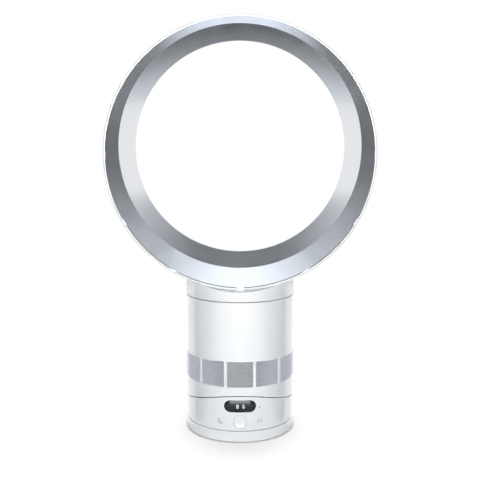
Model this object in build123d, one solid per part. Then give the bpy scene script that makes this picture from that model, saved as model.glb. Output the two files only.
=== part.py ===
from build123d import *
import math
import os

os.makedirs("parts", exist_ok=True)

# A bladeless fan. Millimetres, +Z up, the front is -Y, it stands on z = 0.
# From the floor up: a foot that stands still, a lower casing that swings on it,
# an upper casing that tilts on the lower one, and a loop that twists off the top.

# Casings
body_radius = 73.5
wall = 2.2
seam = 1.0
edge = 0.5
lap = 1.0
foot_lift = 0.8
foot_seam_z = 15.3
neck_seam_z = 186.7
bore = body_radius - wall
foot_top = foot_seam_z - seam / 2
base_low = foot_seam_z + seam / 2
body_top = neck_seam_z - seam / 2
neck_low = neck_seam_z + seam / 2

# Screws, and the blocks inside the casings that they go into
screw_shank = 1.5
screw_head = 2.8
screw_head_high = 1.2
screw_length = 8.5
head_gap = 0.2
head_sink = 0.3
block_width = 9.0
block_depth = 9.3
block_radius = bore - block_depth / 2
screw_radius = bore - 7.6

# Foot
plate_thick = 2.6
plate_top = foot_lift + plate_thick
pad_radius = 7.0
pad_stem = 6.0
pad_sink = 1.0
pad_circle = bore - 13.3
glide_width = 8.0
glide_inset = 3.3
glide_gap = 0.1
ballast_high = 5.0
ballast_gap = 1.5
jack_width = 9.0
jack_depth = 13.0
jack_high = 9.0
jack_nose = 4.0
jack_hole = 2.8
jack_pin = 1.0
jack_gap = 0.2
jack_reach = 8.0
jack_z = plate_top + jack_high / 2

# Swing: a sector gear on the foot and a pinion on the motor
swing_limit = 35.0
ring_teeth = 72
pinion_teeth = 16
ring_pitch = bore - 26.3
gear_module = 2 * ring_pitch / ring_teeth
pinion_pitch = gear_module * pinion_teeth / 2
pinion_y = ring_pitch - pinion_pitch
pressure_angle = math.radians(20)
backlash = 0.25
sector_spare = 13.0
gear_lift = 0.6
gear_high = 6.0
gear_low = plate_top + gear_lift
gear_top = gear_low + gear_high
rim_thick = 5.5
ring_rim = ring_pitch + rim_thick
cover_bore = ring_rim + 3.0
gear_foot = 8.0
post_radius = 12.0
post_bore = 8.0
post_flange = 20.0
post_step = 2.5
running_fit = 0.05
floor_thick = 2.6
floor_top = base_low + floor_thick
bush_thick = 3.0
bush_flange = 6.5
bush_high = 3.1
post_top = floor_top + bush_high + 0.3
retainer_high = 1.6
retainer_width = 7.5
pinion_hub = 5.0
pinion_hole = 6.0
motor_gap = 2.5
motor_radius = pinion_y - post_radius - bush_flange - motor_gap
motor_high = 18.0
motor_shaft_radius = 2.5
motor_shaft_reach = 7.0
motor_ear_width = 7.0
motor_ears = 2 * (motor_radius + motor_ear_width)
motor_ear_thick = 1.0
motor_screw_x = motor_ears / 2 - motor_ear_width / 2

# Tilt: both casings follow cylinders about a crosswise axis
seam_side_z = 46.1
tilt_seam_radius = 172.0
tilt_axis_z = seam_side_z + tilt_seam_radius
tilt_limit = 10.0
saddle_thick = 3.0
saddle_radius = tilt_seam_radius + seam / 2
carriage_radius = tilt_seam_radius - seam / 2
saddle_under = saddle_radius + saddle_thick
carriage_top = carriage_radius - saddle_thick
lip_thick = 1.2
lip_under = saddle_under + lip_thick
hook_x = 30.0
hook_half = 11.0
hook_web = 4.0
hook_foot = 12.0
hook_foot_thick = 2.8
hook_gap = 0.5
hook_top = lip_under + hook_gap
hook_under = hook_top + hook_foot_thick
hook_travel = math.sin(math.radians(tilt_limit)) * hook_top
slot_half = hook_half + hook_travel + 2 * hook_gap
saddle_wire_width = 14.0
saddle_wire_length = 50.0
carriage_wire = 8.0
runner_x = bore - 19.3
runner_width = 7.0
runner_half = 32.0
runner_thick = 0.5

# Controls on the front of the lower casing
display_width = 42.0
display_height = 16.3
display_z = 49.0
button_radius = 9.0
button_z = 28.4
button_gap = 0.35
button_travel = 1.0
button_flange = button_radius + 0.9
button_flange_thick = 1.4
button_stem = 3.0
dish_radius = button_radius - 0.6
dish_floor = button_radius / 2
dish_depth = 1.3
moon_angle = -20.0
swing_mark_angle = 20.8
mark_z = 28.5
mark_skin = 0.9
pocket_radius = 5.5
guide_radius = 4.6
window_angle = 20.2
window_z = 46.7
window_radius = 0.8

# Boards behind the controls, on one bracket
board_y = -(bore - 15.3)
board_thick = 1.6
board_gap = 0.5
board_width = 58.0
board_low = 20.0
board_top = 38.0
chip_width = 7.0
chip_high = 5.0
chip_thick = 1.2
switch_size = 6.2
switch_depth = 3.4
switch_stem = 0.8
bracket_thick = 2.0
bracket_foot = 12.0
display_board_y = -(bore - 6.5)
display_board_width = 36.0
display_board_low = board_top + bracket_thick
display_board_back = display_board_y + board_thick
saddle_low_z = tilt_axis_z - math.sqrt(saddle_under**2 - display_board_back**2)
display_board_top = saddle_low_z - board_gap
module_width = 26.0
module_high = 10.8
module_depth = 3.0

# Inlet band
band_low = 74.4
band_high = 108.5
panel_count = 12
panel_strip = 4.0
slot_rows = 15
slot_pitch = 2.15
slot_height = 0.95
slot_margin = 0.8
stay_width = 1.2
stay_depth = 1.0
stays_per_panel = 3
grille_fit = 0.2
grille_sink = 0.3
grille_sleeve = 1.2
grille_rim = 2.5

# Impeller in its duct
housing_bore = bore - 15.3
housing_wall = 2.0
throat_radius = housing_bore - 20.0
mouth_flare = 10.0
housing_low = band_low + 13.6
throat_z = housing_low + 5.0
cone_high = 28.0
cone_top = throat_z + cone_high
ledge_z = neck_seam_z - 23.7
ledge_width = 5.3
ledge_thick = 2.4
gasket_high = 1.6
housing_high = ledge_z + ledge_thick + gasket_high + housing_wall
impeller_low = throat_z + 1.0
impeller_high = cone_top - 1.5
hub_low_radius = 13.0
hub_foot = 2.0
hub_bevel = 3.0
hub_skin = 2.5
hub_boss = 4.0
blade_count = 9
blade_thick = 1.4
blade_root = 3.0
blade_lift = 0.5
blade_radius = (housing_bore + 1.0 + blade_root) / 2
blade_offset = blade_radius - blade_root
tip_gap = 1.0

# Motor in its bucket
bucket_radius = housing_bore - 18.0
bucket_wall = 2.0
bucket_slope = 6.0
bucket_low = cone_top + 1.0
bucket_split = bucket_low + 20.0
bucket_length = 43.0
bucket_high = bucket_low + bucket_length
cap_thick = 3.5
cap_slope = 10.0
hub_high_radius = bucket_radius - 1.0
shaft_radius = 4.0
shaft_gap = 1.5
shaft_spare = 0.5
bearing_radius = 11.0
bearing_high = 7.0
bearing_seat = bearing_radius + 2.0
bearing_low = bucket_low + bucket_wall
cap_bearing_top = bucket_high - cap_thick
core_high = 16.0
core_low = bearing_low + bearing_high + 3.0
coil_high = 2.0
magnet_radius = 15.0
air_gap = 0.6
vane_count = 11
vane_thick = 1.6
vane_high = 16.0
vane_lean = 22.0
nut_radius = 6.5
nut_high = 5.0
foam_gap = 4.0

# Loop: the outer circles and the inner circles have different centres
loop_side_radius = 177.5
loop_lift = 10.9
throat_offset = 8.96
loop_z = neck_seam_z + loop_lift + loop_side_radius
throat_centre_z = loop_z + throat_offset
loop_wall = 2.0
loop_front_y = -48.0
rim_step = 2.2
rim_chamfer = 1.3
rim_radius = loop_side_radius - rim_step
rim_drop = 0.8
crown_y = -10.0
round_start = 17.0
round_drop = 1.9
round_turn = 5.0
round_turn_drop = 4.6
trim_outer = rim_radius - 1.5
trim_edge = trim_outer - seam / 2
trim_z = loop_z + seam / 2 - running_fit
tab_count = 12
tab_width = 9.0
tab_thick = 1.4
tab_lip = 0.5
tab_root = 1.6
band_depth = 33.0
hole_radius = loop_side_radius - band_depth
hole_y = 30.0
crease_y = loop_front_y + 10.0
crease_radius = hole_radius + 13.1
nose_radius = 13.0
nose_end = math.radians(75)
outlet_gap = 1.3
lip_end = math.radians(45)
tail_radius = hole_radius + nose_radius
tail_y = hole_y + nose_radius + outlet_gap + loop_wall
shoulder_y = tail_y - 3.3
shoulder_radius = loop_side_radius - 9.0
spacer_count = 12
spacer_gap = 0.1
neck_border_side = 19.3
neck_border_front = 15.0
neck_opening_width = 2 * (bore - neck_border_side)
neck_opening_depth = -2 * (loop_front_y + neck_border_front)

# Bayonet between the loop and the upper casing
lug_radius = bore - 4.4
spigot_radius = lug_radius - 3.3
collar_bore = spigot_radius - 2.3
bayonet_gap = 0.4
bayonet_floor = 1.5
bayonet_lip = 2.9
lug_high = 2.8
lug_angle = 20.0
entry_spare = 4.0
twist_limit = 25.0
lug_count = 3
groove_high = lug_high + 2 * bayonet_gap
bayonet_low = body_top - bayonet_floor - groove_high - bayonet_lip
groove_low = bayonet_low + bayonet_floor
seal_thick = 0.5
seal_inset = 1.0


def drum(radius, low, high, x=0.0, y=0.0):
    solid = Cylinder(radius, high - low, align=(Align.CENTER, Align.CENTER, Align.MIN))
    return Pos(x, y, low) * solid


def tube(outer, inner, low, high, x=0.0, y=0.0):
    return drum(outer, low, high, x, y) - drum(inner, low, high, x, y)


def block(width, depth, low, high, x=0.0, y=0.0):
    solid = Box(width, depth, high - low, align=(Align.CENTER, Align.CENTER, Align.MIN))
    return Pos(x, y, low) * solid


def turned(*points):
    # A section in radius and height, turned about the upright axis
    return revolve(Plane.XZ * make_face(Polyline(*points, close=True)), Axis.Z)


def rocker(radius):
    # A cylinder about the tilt axis, wider than the casing
    return Pos(0, 0, tilt_axis_z) * Rot(0, 90, 0) * Cylinder(radius, 4 * body_radius)


def rocker_strip(top, under, x, width, half_length):
    # A curved strip between two radii about the tilt axis, below it
    sleeve = rocker(under) - rocker(top)
    return sleeve & block(width, 2 * half_length, 0, tilt_axis_z, x)


def rod(radius, near, far, x, z):
    # A round rod on the front side, from y = -near to y = -far
    solid = Cylinder(radius, far - near, align=(Align.CENTER, Align.CENTER, Align.MIN))
    return Pos(x, -near, z) * Rot(90, 0, 0) * solid


def rear_rod(radius, near, far, z):
    return Rot(0, 0, 180) * rod(radius, near, far, 0, z)


def front_slot(width, height, z, far):
    # A stadium seen from the front, carried from the middle to y = -far
    return extrude(Pos(0, 0, z) * (Plane.XZ * SlotOverall(width, height)), far)


def sector(outer, inner, low, high, angle):
    # Part of a ring, centred on +X
    half = math.radians(angle / 2)
    far = 2 * outer
    points = [(0, 0), (far, -far * math.tan(half)), (far, far * math.tan(half))]
    wedge = extrude(make_face(Polyline(*points, close=True)), high - low)
    return tube(outer, inner, low, high) & (Pos(0, 0, low) * wedge)


def around(shape, count, first=0.0):
    return [Rot(0, 0, first + 360 / count * turn) * shape for turn in range(count)]


def corners(shape):
    return around(shape, 4, 45)


def screw(x, z, length=screw_length):
    # Head down, shank up
    head = drum(screw_head, z, z + screw_head_high, x)
    return head + drum(screw_shank, z, z + length, x)


def plate_holes(low, high):
    # Counterbored holes for the four corner screws that come from below
    sunk = drum(screw_head + head_gap, low, low + head_sink + screw_head_high, screw_radius)
    return corners(sunk + drum(screw_shank, low, high, screw_radius))


def corner_blocks(low, high):
    return corners(block(block_depth, block_width, low, high, block_radius))


def pilots(low, high):
    return corners(drum(screw_shank, low, high, screw_radius))


# Foot


def foot_shell():
    under = foot_top - wall
    section = [
        (body_radius - edge, foot_lift),
        (body_radius, foot_lift + edge),
        (body_radius, foot_top - edge),
        (body_radius - edge, foot_top),
        (cover_bore, foot_top),
        (cover_bore, under),
        (bore, under),
        (bore, foot_lift),
    ]
    opening = rear_rod(jack_nose + jack_gap, bore - wall, body_radius + wall, jack_z)
    shell = turned(*section) + corner_blocks(plate_top, under)
    return shell - pilots(plate_top, under) - opening


def foot_plate():
    plate = drum(bore, foot_lift, plate_top)
    pads = around(drum(pad_radius, foot_lift, foot_lift + pad_sink, pad_circle), 4)
    return plate - plate_holes(foot_lift, plate_top) - pads


def rubber_feet():
    stem = drum(pad_stem, 0, foot_lift, pad_circle)
    foot = stem + drum(pad_radius, foot_lift, foot_lift + pad_sink, pad_circle)
    return Compound(children=around(foot, 4))


def foot_screws():
    return Compound(children=corners(screw(screw_radius, foot_lift + head_sink)))


def ballast_ring():
    # A heavy ring round the gear, cut out for the screw blocks and the power inlet
    ring = tube(bore - ballast_gap, ring_rim + ballast_gap, plate_top, plate_top + ballast_high)
    cut_width = block_width + 2 * ballast_gap
    cut_depth = block_depth + 2 * ballast_gap
    cuts = corners(block(cut_depth, cut_width, plate_top, foot_top, block_radius))
    depth = 2 * jack_depth
    jack_cut = block(jack_width + ballast_gap, depth, plate_top, foot_top, 0, bore - jack_depth / 2)
    return ring - cuts - jack_cut


def pivot_post():
    flange = drum(post_flange, plate_top, plate_top + bracket_thick)
    post = drum(post_radius, plate_top, post_top)
    spigot = drum(post_radius - post_step, post_top, post_top + retainer_high)
    return flange + post + spigot - drum(post_bore, plate_top, post_top + retainer_high)


def pivot_retainer():
    inner = post_radius - post_step
    return tube(inner + retainer_width, inner, post_top, post_top + retainer_high)


def glide_ring():
    outer = bore - glide_inset
    return tube(outer, outer - glide_width, foot_top, base_low - glide_gap)


def dc_inlet():
    # Barrel jack behind the hole in the foot's back
    rear = math.sqrt(bore**2 - (jack_width / 2) ** 2)
    body = block(jack_width, jack_depth, plate_top, plate_top + jack_high, 0, rear - jack_depth / 2)
    nose = rear_rod(jack_nose, rear - lap, body_radius - edge, jack_z)
    hole = rear_rod(jack_hole, bore - jack_reach, body_radius, jack_z)
    pin = rear_rod(jack_pin, bore - jack_reach - lap, bore - lap, jack_z)
    return body + nose - hole + pin


# Swing drive


def involute(angle):
    return math.tan(angle) - angle


def flank(radius, pitch, half_at_pitch):
    # Half the angle that a tooth spans at a radius
    base = pitch * math.cos(pressure_angle)
    at_radius = math.acos(min(1.0, base / radius))
    return half_at_pitch + involute(pressure_angle) - involute(at_radius)


def on_circle(radius, angle):
    return (radius * math.cos(angle), radius * math.sin(angle))


def tooth_outline(centre, radii, pitch, half_at_pitch):
    up = [on_circle(r, centre - flank(r, pitch, half_at_pitch)) for r in radii]
    down = [on_circle(r, centre + flank(r, pitch, half_at_pitch)) for r in reversed(radii)]
    return up + down


def swing_ring_gear():
    # A tooth space faces the pinion when the fan looks straight ahead
    tip = ring_pitch - gear_module
    root = ring_pitch + 1.3 * gear_module
    half_space = math.pi / (2 * ring_teeth) + backlash / (2 * ring_pitch)
    sweep = 2 * (swing_limit + sector_spare)
    rim = Rot(0, 0, 90) * sector(ring_rim, tip, gear_low, gear_top, sweep)
    pitch_angle = 360 / ring_teeth
    points = tooth_outline(0, [tip - backlash, ring_pitch, root], ring_pitch, half_space)
    space = Pos(0, 0, gear_low) * extrude(make_face(Polyline(*points, close=True)), gear_high)
    side = int(sweep / 2 / pitch_angle)
    spaces = [Rot(0, 0, 90 + step * pitch_angle) * space for step in range(-side, side + 1)]
    foot_depth = rim_thick + gear_module
    foot_y = ring_rim - foot_depth / 2
    foot = block(gear_foot, foot_depth - gear_module, plate_top, gear_low, 0, foot_y)
    feet = [Rot(0, 0, angle) * foot for angle in (-swing_limit, 0, swing_limit)]
    return rim - spaces + feet


def swing_pinion():
    tip = pinion_pitch + gear_module
    root = pinion_pitch - 1.25 * gear_module
    base = pinion_pitch * math.cos(pressure_angle)
    half_tooth = math.pi / (2 * pinion_teeth) - backlash / (2 * pinion_pitch)
    half_root = flank(base, pinion_pitch, half_tooth)
    outline = []
    for step in range(pinion_teeth):
        centre = math.pi / 2 + step * 2 * math.pi / pinion_teeth
        outline.append(on_circle(root, centre - half_root))
        outline += tooth_outline(centre, [base, pinion_pitch, tip], pinion_pitch, half_tooth)
        outline.append(on_circle(root, centre + half_root))
    wheel = extrude(make_face(Polyline(*outline, close=True)), gear_high)
    hub = drum(pinion_hub, gear_top, base_low - gear_lift, 0, pinion_y)
    shaft = drum(motor_shaft_radius, gear_low, floor_top + motor_shaft_reach, 0, pinion_y)
    return Pos(0, pinion_y, gear_low) * wheel + hub + shaft


def swing_motor():
    top = floor_top + motor_high
    body = drum(motor_radius, floor_top, top, 0, pinion_y)
    ears = block(motor_ears, motor_ear_width, floor_top, floor_top + motor_ear_thick, 0, pinion_y)
    socket_y = pinion_y + motor_radius
    socket = block(motor_radius, motor_ear_width, floor_top + motor_ear_width, top, 0, socket_y)
    hole_top = floor_top + motor_shaft_reach + head_gap
    shaft_hole = drum(motor_shaft_radius + running_fit, floor_top, hole_top, 0, pinion_y)
    return body + ears + socket - shaft_hole - motor_screw_holes()


def motor_screw_holes():
    top = floor_top + motor_ear_thick
    return [drum(screw_shank, base_low, top, x, pinion_y) for x in (-motor_screw_x, motor_screw_x)]


def motor_screws():
    # Down through the motor's ears into the floor
    length = screw_head_high + motor_ear_thick + floor_thick
    fastener = Rot(180, 0, 0) * screw(0, 0, length)
    top = floor_top + motor_ear_thick + screw_head_high
    places = [Pos(x, pinion_y, top) for x in (-motor_screw_x, motor_screw_x)]
    return Compound(children=[place * fastener for place in places])


# Lower casing


def base_shell():
    section = [
        (body_radius - edge, base_low),
        (body_radius, base_low + edge),
        (body_radius, tilt_axis_z),
        (bore, tilt_axis_z),
        (bore, base_low),
    ]
    shell = turned(*section) - rocker(saddle_radius)
    blocks = [piece - rocker(saddle_under) for piece in corner_blocks(floor_top, tilt_axis_z)]
    inside = bore / 2
    outside = 2 * body_radius
    display = front_slot(display_width, display_height, display_z, outside)
    button = rod(button_radius + button_gap, inside, outside, 0, button_z)
    window = Rot(0, 0, window_angle) * rod(window_radius, inside, outside, 0, window_z)
    pocket = rod(pocket_radius, inside, body_radius - mark_skin, 0, mark_z)
    pockets = [Rot(0, 0, angle) * pocket for angle in (moon_angle, swing_mark_angle)]
    holes = pilots(floor_top, tilt_axis_z)
    return shell + blocks - holes - display - button - window - pockets


def base_floor():
    floor = drum(bore, base_low, floor_top)
    bush_hole = drum(post_radius + bush_thick, base_low, floor_top)
    drive_hole = drum(pinion_hole, base_low, floor_top, 0, pinion_y)
    return floor - bush_hole - drive_hole - plate_holes(base_low, floor_top) - motor_screw_holes()


def base_screws():
    return Compound(children=corners(screw(screw_radius, base_low + head_sink)))


def pivot_bush():
    inner = post_radius + running_fit
    section = [
        (inner, base_low),
        (post_radius + bush_thick, base_low),
        (post_radius + bush_thick, floor_top),
        (post_radius + bush_flange, floor_top),
        (post_radius + bush_flange, floor_top + bush_high),
        (inner, floor_top + bush_high),
    ]
    return turned(*section)


def saddle_head_top():
    # The sunk heads stay below the lowest part of the saddle's top around them
    y = (screw_radius - screw_head) * math.sqrt(0.5)
    return tilt_axis_z - math.sqrt(saddle_radius**2 - y**2) - head_gap


def tilt_saddle():
    plate = rocker_strip(saddle_radius, saddle_under, 0, 2 * bore, bore) & drum(bore, 0, tilt_axis_z)
    slots = []
    lips = []
    for x in (-hook_x, hook_x):
        slots.append(block(hook_web + 2 * hook_gap, 2 * slot_half, 0, tilt_axis_z, x))
        lips.append(rocker_strip(saddle_under - lip_thick, lip_under, x, hook_foot, slot_half + hook_web))
    wires = block(saddle_wire_width, saddle_wire_length, 0, tilt_axis_z)
    head_low = saddle_head_top() - screw_head_high
    heads = corners(drum(screw_head + head_gap, head_low, tilt_axis_z, screw_radius))
    return plate + lips - slots - wires - heads - pilots(0, tilt_axis_z)


def saddle_screws():
    fastener = Pos(screw_radius, 0, saddle_head_top()) * Rot(180, 0, 0) * screw(0, 0)
    return Compound(children=corners(fastener))


def tilt_glide_strips():
    inner = saddle_radius - runner_thick
    strips = [
        rocker_strip(inner, saddle_radius, x, runner_width, runner_half)
        for x in (-runner_x, runner_x)
    ]
    return Compound(children=strips)


def board_bracket():
    # An upright plate for the control board and a ribbed shelf for the display's board
    back_y = board_y + board_thick
    back_width = board_width + 2 * bracket_thick
    back = block(back_width, bracket_thick, floor_top, board_top, 0, back_y + bracket_thick / 2)
    foot_x = board_width / 3
    foot_y = back_y + bracket_foot / 2
    foot_top_z = floor_top + bracket_thick
    feet = [
        block(3 * bracket_thick, bracket_foot, floor_top, foot_top_z, x, foot_y)
        for x in (-foot_x, foot_x)
    ]
    depth = back_y + bracket_thick - display_board_y
    middle = display_board_y + depth / 2
    shelf = block(display_board_width, depth, board_top, display_board_low, 0, middle)
    rib_top = (display_board_low + display_board_top) / 2
    rib_x = display_board_width / 2 - 2 * bracket_thick
    ribs = [
        block(bracket_thick, depth - board_thick, display_board_low, rib_top, x, middle + board_thick / 2)
        for x in (-rib_x, rib_x)
    ]
    return back + feet + shelf + ribs


def control_board():
    board = block(board_width, board_thick, board_low, board_top, 0, board_y + board_thick / 2)
    chip_top = board_top - bracket_thick
    chip_low = chip_top - chip_high
    chip_x = board_width / 5
    chip_y = board_y - chip_thick / 2
    chips = [block(chip_width, chip_thick, chip_low, chip_top, x, chip_y) for x in (-chip_x, chip_x)]
    return board + chips


def power_switch():
    half = switch_size / 2
    case = block(switch_size, switch_depth, button_z - half, button_z + half, 0, board_y - switch_depth / 2)
    face = switch_depth - board_y
    return case + rod(button_stem / 2, face, face + switch_stem, 0, button_z)


def display_board():
    y = display_board_y + board_thick / 2
    return block(display_board_width, board_thick, display_board_low, display_board_top, 0, y)


def display_module():
    low = display_board_top - module_high
    return block(module_width, module_depth, low, display_board_top, 0, display_board_y - module_depth / 2)


def front_skin():
    return tube(body_radius, bore, 0, tilt_axis_z)


def display_lens():
    return front_slot(display_width, display_height, display_z, 2 * body_radius) & front_skin()


def ir_window():
    lens = rod(window_radius, bore / 2, 2 * body_radius, 0, window_z) & front_skin()
    return Rot(0, 0, window_angle) * lens


def light_guide(angle):
    # From the pocket behind a lit mark back to the control board's face
    far = body_radius - mark_skin
    guide = Rot(0, 0, angle) * rod(guide_radius, far / 2, far, 0, mark_z)
    behind = block(4 * body_radius, 2 * body_radius, 0, tilt_axis_z, 0, board_y + body_radius)
    return (guide & drum(far, 0, tilt_axis_z)) - behind


def power_button():
    # A round cap that follows the casing, a flange behind the wall and a stem to the switch
    cap = rod(button_radius, bore / 2, 2 * body_radius, 0, button_z) & front_skin()
    dish = Pos(0, dish_depth / 2 - body_radius, button_z) * Rot(90, 0, 0)
    cap -= dish * Cone(dish_floor, dish_radius, dish_depth)
    flange_front = math.sqrt(bore**2 - button_flange**2) - button_gap
    flange_back = flange_front - button_flange_thick
    flange = rod(button_flange, flange_back, flange_front, 0, button_z)
    neck = rod(button_radius, flange_back, bore, 0, button_z) & drum(bore, 0, tilt_axis_z)
    stem_end = switch_depth - board_y + switch_stem + button_travel + head_gap
    return cap + neck + flange + rod(button_stem, stem_end, flange_front, 0, button_z)


# Upper casing


def body_shell():
    low = tilt_axis_z - carriage_radius
    ledge_top = ledge_z + ledge_thick
    section = [
        (body_radius, band_high),
        (body_radius, body_top - edge),
        (body_radius - edge, body_top),
        (bore, body_top),
        (bore, ledge_top),
        (bore - ledge_width, ledge_top),
        (bore - ledge_width, ledge_z),
        (bore, ledge_z - ledge_width),
        (bore, band_high),
    ]
    skirt = tube(body_radius, bore, low, band_low) & rocker(carriage_radius)
    band = tube(body_radius, bore, band_low, band_high)
    strip = block(2 * wall, panel_strip, band_low, band_high, body_radius)
    strips = [band & piece for piece in around(strip, panel_count, 180 / panel_count)]
    block_top = band_low - grille_rim - wall
    blocks = [piece & rocker(carriage_top) for piece in corner_blocks(low, block_top)]
    return turned(*section) + skirt + strips + blocks - pilots(low, block_top)


def inlet_grille():
    # Raised panels stand in the casing's windows, on a sleeve behind the strips
    outer = body_radius - grille_sink
    inner = bore - grille_sleeve
    low = band_low + grille_fit
    high = band_high - grille_fit
    sleeve = tube(outer, inner, low, high)
    rims = tube(bore, inner, band_low - grille_rim, low) + tube(bore, inner, high, band_high + grille_rim)
    channel_width = panel_strip + 2 * grille_fit
    channel = block(2 * (wall + grille_fit), channel_width, low, high, body_radius)
    channels = around(channel, panel_count, 180 / panel_count)
    bar = block(4 * wall, panel_strip + 2 * slot_margin, low, high, body_radius - wall)
    bars = around(bar, panel_count, 180 / panel_count)
    first = (low + high - (slot_rows - 1) * slot_pitch - slot_height) / 2
    slots = []
    for row in range(slot_rows):
        z = first + row * slot_pitch
        slots.append(tube(outer + wall, inner - wall, z, z + slot_height) - bars)
    stay = block(stay_depth, stay_width, low, high, inner + stay_depth / 2)
    stays = around(stay, stays_per_panel * panel_count)
    return sleeve + rims - channels - slots + stays


def tilt_carriage():
    plate = rocker_strip(carriage_top, carriage_radius, 0, 2 * bore, bore) & drum(bore, 0, tilt_axis_z)
    heads = corners(drum(screw_head + head_gap, 0, carriage_head_low() + screw_head_high, screw_radius))
    return plate - heads - pilots(0, tilt_axis_z) - drum(carriage_wire, 0, tilt_axis_z)


def carriage_head_low():
    # The sunk heads stay above the highest part of the carriage's underside around them
    y = (screw_radius + screw_head) * math.sqrt(0.5)
    return tilt_axis_z - math.sqrt(carriage_radius**2 - y**2) + head_gap / 2


def carriage_screws():
    return Compound(children=corners(screw(screw_radius, carriage_head_low())))


def tilt_hooks():
    # Two hooks hang through the saddle's slots and hold the upper casing down
    hooks = []
    for x in (-hook_x, hook_x):
        web = rocker_strip(carriage_radius, hook_under, x, hook_web, hook_half)
        hooks.append(web + rocker_strip(hook_top, hook_under, x, hook_foot, hook_half))
    return Compound(children=hooks)


def lower_foam():
    disc = drum(screw_radius - block_width / 2, 0, band_low - foam_gap)
    return (disc & rocker(carriage_top)) - drum(carriage_wire, 0, band_low)


def upper_foam():
    low = band_high + grille_rim + foam_gap
    return tube(bore, housing_bore + housing_wall, max(low, cone_top), ledge_z - ledge_width)


def impeller_housing():
    # Bell mouth, cone round the impeller, then a straight duct with a flange on top
    out = housing_wall
    brim = throat_radius + mouth_flare
    section = [
        (brim, housing_low),
        (throat_radius + out, housing_low + 0.8 * out),
        (throat_radius, throat_z),
        (housing_bore, cone_top),
        (housing_bore, housing_high),
        (bore - seam, housing_high),
        (bore - seam, housing_high - out),
        (housing_bore + out, housing_high - out),
        (housing_bore + out, cone_top - out / 2),
        (throat_radius + 1.5 * out, throat_z + out / 2),
        (throat_radius + 2 * out, housing_low + 1.7 * out),
        (brim, housing_low + 0.9 * out),
    ]
    return turned(*section)


def housing_gasket():
    low = ledge_z + ledge_thick
    return tube(bore, bore - ledge_width, low, low + gasket_high)


def motor_bucket():
    # Cup round the lower half of the motor, held in the duct by the guide vanes
    mouth = shaft_radius + shaft_gap
    inside = bucket_radius - bucket_wall
    slope = bucket_slope + 0.4 * bucket_wall
    section = [
        (mouth, bucket_low),
        (bucket_radius - bucket_slope, bucket_low),
        (bucket_radius, bucket_low + bucket_slope),
        (bucket_radius, bucket_split),
        (inside, bucket_split),
        (inside, bucket_low + slope),
        (inside - bucket_slope + 0.6 * bucket_wall, bearing_low),
        (bearing_seat, bearing_low),
        (bearing_seat, bearing_low + bearing_high),
        (bearing_radius, bearing_low + bearing_high),
        (bearing_radius, bearing_low),
        (mouth, bearing_low),
    ]
    span = housing_bore - bucket_radius + 2 * lap
    middle = (bucket_radius + housing_bore) / 2
    vane_z = (bucket_low + bucket_split) / 2
    vane = Pos(middle, 0, vane_z) * Rot(vane_lean, 0, 0) * Box(span, vane_thick, vane_high)
    duct = tube(housing_bore, bucket_radius - bucket_wall / 2, bucket_low, bucket_split)
    return turned(*section) + [duct & piece for piece in around(vane, vane_count)]


def motor_cap():
    top = cap_bearing_top
    inside = bucket_radius - bucket_wall
    shoulder_z = bucket_high - cap_slope
    section = [
        (bucket_radius, bucket_split),
        (bucket_radius, shoulder_z),
        (bucket_radius - cap_slope, bucket_high - bucket_wall),
        (bearing_seat, bucket_high),
        (0, bucket_high),
        (0, top),
        (bearing_radius, top),
        (bearing_radius, top - bearing_high),
        (bearing_seat, top - bearing_high),
        (bearing_seat, top),
        (inside - cap_slope + bucket_wall / 2, top - bucket_wall / 2),
        (inside, shoulder_z - bucket_wall / 2),
        (inside, bucket_split),
    ]
    return turned(*section)


def motor_stator():
    # Laminations pressed into the cup, with the windings' ends above and below
    top = core_low + core_high
    core = tube(bucket_radius - bucket_wall, magnet_radius + air_gap, core_low, top)
    outer = bucket_radius - 4 * bucket_wall
    coils = tube(outer, magnet_radius + 5 * air_gap, core_low - coil_high, top + coil_high)
    return core + coils


def motor_bearings():
    inner = shaft_radius + running_fit
    lower = tube(bearing_radius, inner, bearing_low, bearing_low + bearing_high)
    upper = tube(bearing_radius, inner, cap_bearing_top - bearing_high, cap_bearing_top)
    return Compound(children=[lower, upper])


def bayonet_ring():
    # Three ways in from the top lead to a groove that the loop's lugs turn in
    lip = spigot_radius + bayonet_gap
    groove = lug_radius + bayonet_gap
    ring = tube(bore, lip, bayonet_low, body_top)
    track = tube(groove, lip - wall, groove_low, groove_low + groove_high)
    entry = sector(groove, lip - wall, groove_low, body_top, lug_angle + entry_spare)
    entries = around(entry, lug_count, twist_limit)
    shelf = tube(bore, collar_bore, bayonet_low - bayonet_floor, bayonet_low)
    return ring + shelf - track - entries


# Impeller


def impeller():
    foot = impeller_low - hub_foot
    boss = shaft_radius + hub_boss
    hub = [
        (shaft_radius, foot),
        (hub_low_radius - hub_bevel, foot),
        (hub_low_radius, impeller_low),
        (hub_high_radius, impeller_high),
        (hub_high_radius, impeller_high + lap),
        (hub_high_radius - hub_skin, impeller_high + lap),
        (hub_low_radius, impeller_low + 2 * hub_skin),
        (boss, impeller_low + 2 * hub_skin),
        (boss, impeller_high),
        (shaft_radius, impeller_high),
    ]
    slope = (housing_bore - throat_radius) / cone_high
    first = impeller_low + blade_lift
    tip_low = throat_radius - tip_gap + slope * (first - throat_z)
    tip_high = throat_radius - tip_gap + slope * (impeller_high - throat_z)
    zone = turned(
        (hub_low_radius - lap, first),
        (tip_low, first),
        (tip_high, impeller_high),
        (hub_high_radius - lap, impeller_high),
    )
    outer = blade_radius + blade_thick / 2
    skin = tube(outer, outer - blade_thick, impeller_low, impeller_high, blade_offset)
    side = block(4 * blade_radius, 2 * blade_radius, impeller_low, impeller_high, 0, blade_radius)
    return turned(*hub) + around(skin & side & zone, blade_count)


def motor_shaft():
    low = impeller_low - hub_foot - nut_high - shaft_spare
    return drum(shaft_radius, low, cap_bearing_top - shaft_spare)


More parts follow.
